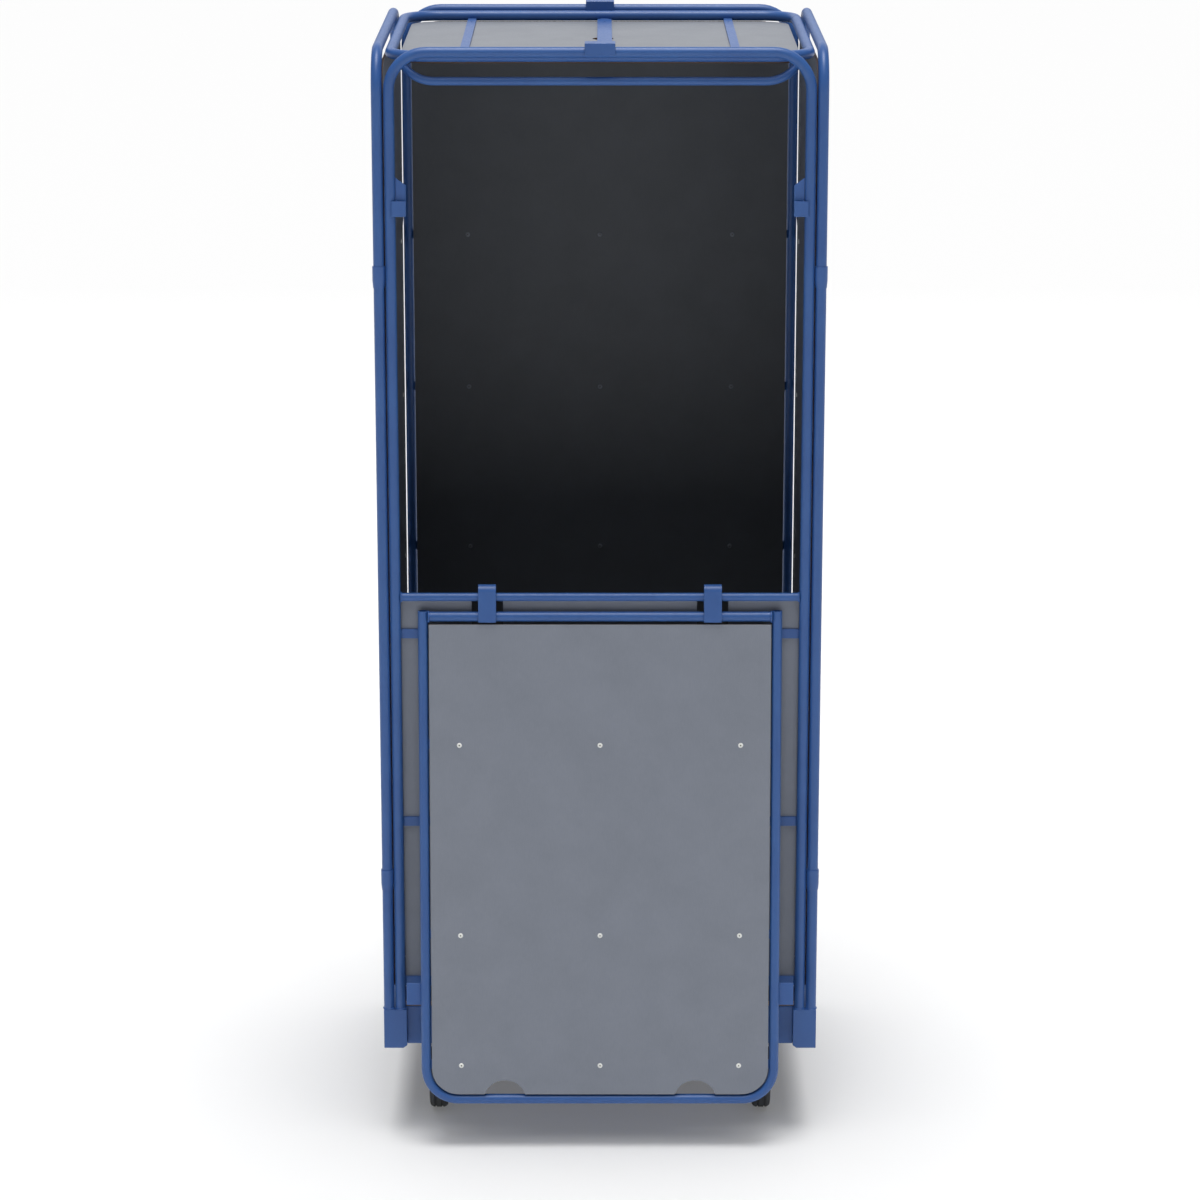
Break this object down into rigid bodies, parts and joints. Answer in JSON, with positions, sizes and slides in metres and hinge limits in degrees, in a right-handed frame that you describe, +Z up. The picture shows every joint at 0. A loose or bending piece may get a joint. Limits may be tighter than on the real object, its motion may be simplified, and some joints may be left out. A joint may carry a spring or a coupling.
{
  "type": "roll trolley book drop",
  "caption": "Tall roofed roll trolley of tube frames with grey panels, used as a book return; the half-height front flap hangs open and hooks shut; castors below.",
  "frame": {"origin": "on the floor, under the middle of the object's bounding box with the flap hanging open", "axes": "+X to the right of a person facing the flap, +Y from front to back, +Z up"},
  "size_m": [0.7534, 0.7214, 1.9],
  "materials": {
    "tube_paint": "satin powder coat, blue",
    "sheet_paint": "satin powder coat, blue, on sheet and flat bar",
    "panel": "light grey laminate with a brown edge",
    "deck": "dark film-faced board",
    "zinc": "zinc plated",
    "fasteners": "blind rivets, plain",
    "nylon": "black nylon",
    "tread": "dark grey rubber",
    "wheel_core": "grey nylon",
    "pedal": "black coated steel"
  },
  "bodies": {
    "cart": {"back_bars": "sheet_paint", "back_frame": "tube_paint", "back_panel": "panel", "castor_beams": "sheet_paint", "castor_bolts": "zinc", "castor_plates": "zinc", "corner_blocks": "sheet_paint", "corner_collars": "sheet_paint", "deck_bolts": "zinc", "deck_panel": "deck", "end_rails": "sheet_paint", "front_bars": "sheet_paint", "front_frame": "tube_paint", "front_panel": "panel", "hinge_bar": "tube_paint", "keeper_left": "sheet_paint", "keeper_right": "sheet_paint", "rear_axles": "zinc", "rear_forks": "zinc", "roof_bars": "sheet_paint", "roof_frame": "tube_paint", "roof_hook_front": "sheet_paint", "roof_hook_rear": "sheet_paint", "roof_panel": "panel", "roof_rivets": "fasteners", "roof_sleeve": "tube_paint", "side_bars_left": "sheet_paint", "side_bars_right": "sheet_paint", "side_frame_left": "tube_paint", "side_frame_right": "tube_paint", "side_panel_left": "panel", "side_panel_right": "panel", "side_rails": "sheet_paint", "stop_bar": "tube_paint", "wall_rivets": "fasteners"},
    "slide_blocks": {"slide_block_left": "nylon", "slide_block_right": "nylon"},
    "flap": {"flap_frame": "tube_paint", "flap_top_rail": "tube_paint", "flap_bars": "sheet_paint", "flap_panel": "panel", "flap_rivets": "fasteners", "flap_tab_left": "sheet_paint", "flap_tab_right": "sheet_paint", "hinge_strap_left": "sheet_paint", "hinge_strap_right": "sheet_paint"},
    "castor_left": {"front_fork_left": "zinc", "front_axle_left": "zinc"},
    "front_wheel_left": {"front_rim_left": "wheel_core", "front_tyre_left": "tread"},
    "pedal_left": {"brake_pedal_left": "pedal"},
    "rear_wheel_left": {"rear_rim_left": "wheel_core", "rear_tyre_left": "tread"},
    "castor_right": {"front_fork_right": "zinc", "front_axle_right": "zinc"},
    "front_wheel_right": {"front_rim_right": "wheel_core", "front_tyre_right": "tread"},
    "pedal_right": {"brake_pedal_right": "pedal"},
    "rear_wheel_right": {"rear_rim_right": "wheel_core", "rear_tyre_right": "tread"}
  },
  "joints": [
    {"name": "flap_swing", "type": "hinge", "parent": "cart", "child": "slide_blocks", "pos_m": [0, -0.28157, 0.9656], "axis": [-1, 0, 0], "range_deg": [0, 175.4]},
    {"name": "flap_drop", "type": "slide", "parent": "slide_blocks", "child": "flap", "axis": [0, 0.0802, 0.9968], "range_m": [0, 0.016]},
    {"name": "castor_swivel_left", "type": "hinge", "parent": "cart", "child": "castor_left", "pos_m": [-0.285, -0.19957, 0.139], "axis": [0, 0, 1], "continuous": true},
    {"name": "front_spin_left", "type": "hinge", "parent": "castor_left", "child": "front_wheel_left", "pos_m": [-0.285, -0.16157, 0.0625], "axis": [1, 0, 0], "continuous": true},
    {"name": "brake_left", "type": "hinge", "parent": "castor_left", "child": "pedal_left", "pos_m": [-0.285, -0.12557, 0.124], "axis": [-1, 0, 0], "range_deg": [0, 28]},
    {"name": "rear_spin_left", "type": "hinge", "parent": "cart", "child": "rear_wheel_left", "pos_m": [-0.285, 0.26643, 0.0625], "axis": [1, 0, 0], "continuous": true},
    {"name": "castor_swivel_right", "type": "hinge", "parent": "cart", "child": "castor_right", "pos_m": [0.285, -0.19957, 0.139], "axis": [0, 0, 1], "continuous": true},
    {"name": "front_spin_right", "type": "hinge", "parent": "castor_right", "child": "front_wheel_right", "pos_m": [0.285, -0.16157, 0.0625], "axis": [1, 0, 0], "continuous": true},
    {"name": "brake_right", "type": "hinge", "parent": "castor_right", "child": "pedal_right", "pos_m": [0.285, -0.12557, 0.124], "axis": [-1, 0, 0], "range_deg": [0, 28]},
    {"name": "rear_spin_right", "type": "hinge", "parent": "cart", "child": "rear_wheel_right", "pos_m": [0.285, 0.26643, 0.0625], "axis": [1, 0, 0], "continuous": true}
  ]
}
